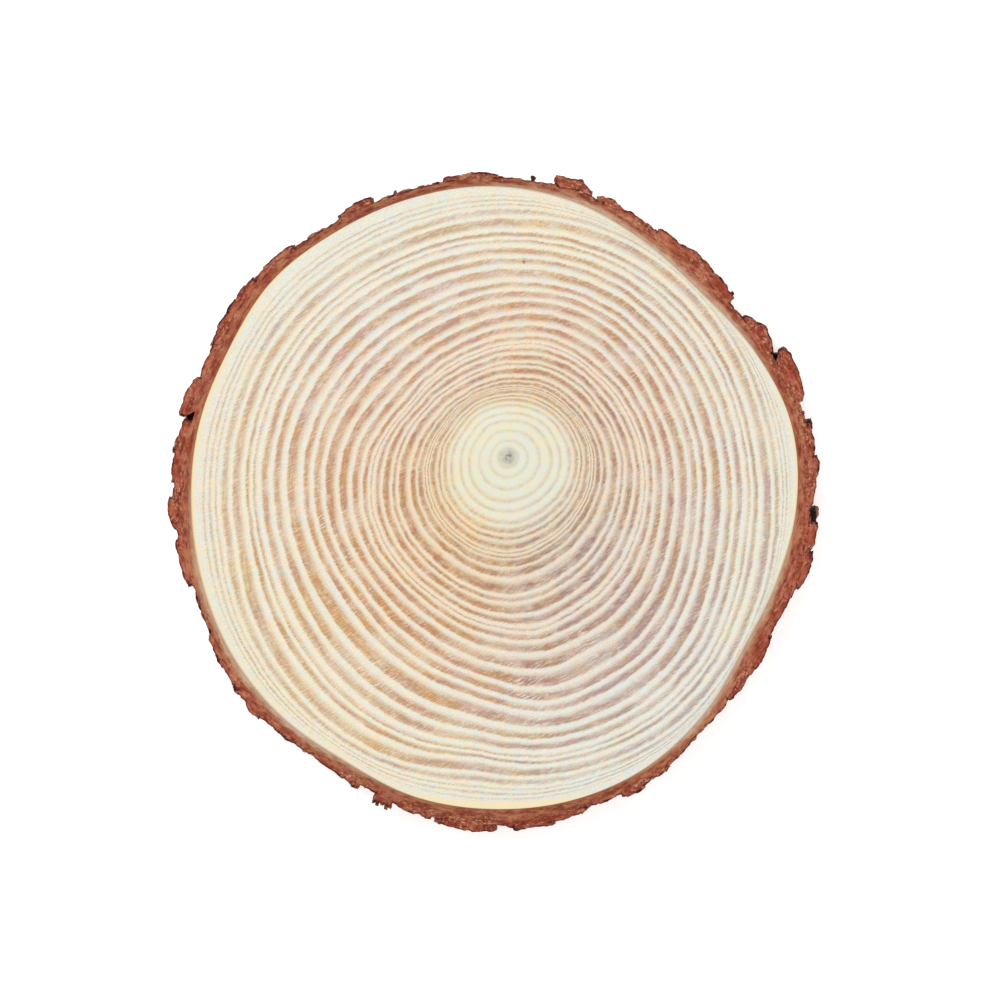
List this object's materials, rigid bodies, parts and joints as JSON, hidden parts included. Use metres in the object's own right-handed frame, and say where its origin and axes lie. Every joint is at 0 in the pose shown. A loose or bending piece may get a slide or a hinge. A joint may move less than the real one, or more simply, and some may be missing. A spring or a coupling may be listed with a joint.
{
  "type": "wood slice",
  "caption": "Round slice sawn across a pine stem, with flat upper and lower faces and its flaking bark left on the rim.",
  "frame": {"origin": "middle of the outline, at the underside", "axes": "+Z out of the upper sawn face, +Y towards the side of the rim that is nearest to the pith"},
  "size_m": [0.0982, 0.0995, 0.01],
  "materials": {
    "wood": "finely sawn pale pine end grain, matte",
    "bark": "rough red-brown pine bark, matte"
  },
  "bodies": {
    "root": {"wood": "wood", "bark": "bark"}
  },
  "joints": []
}
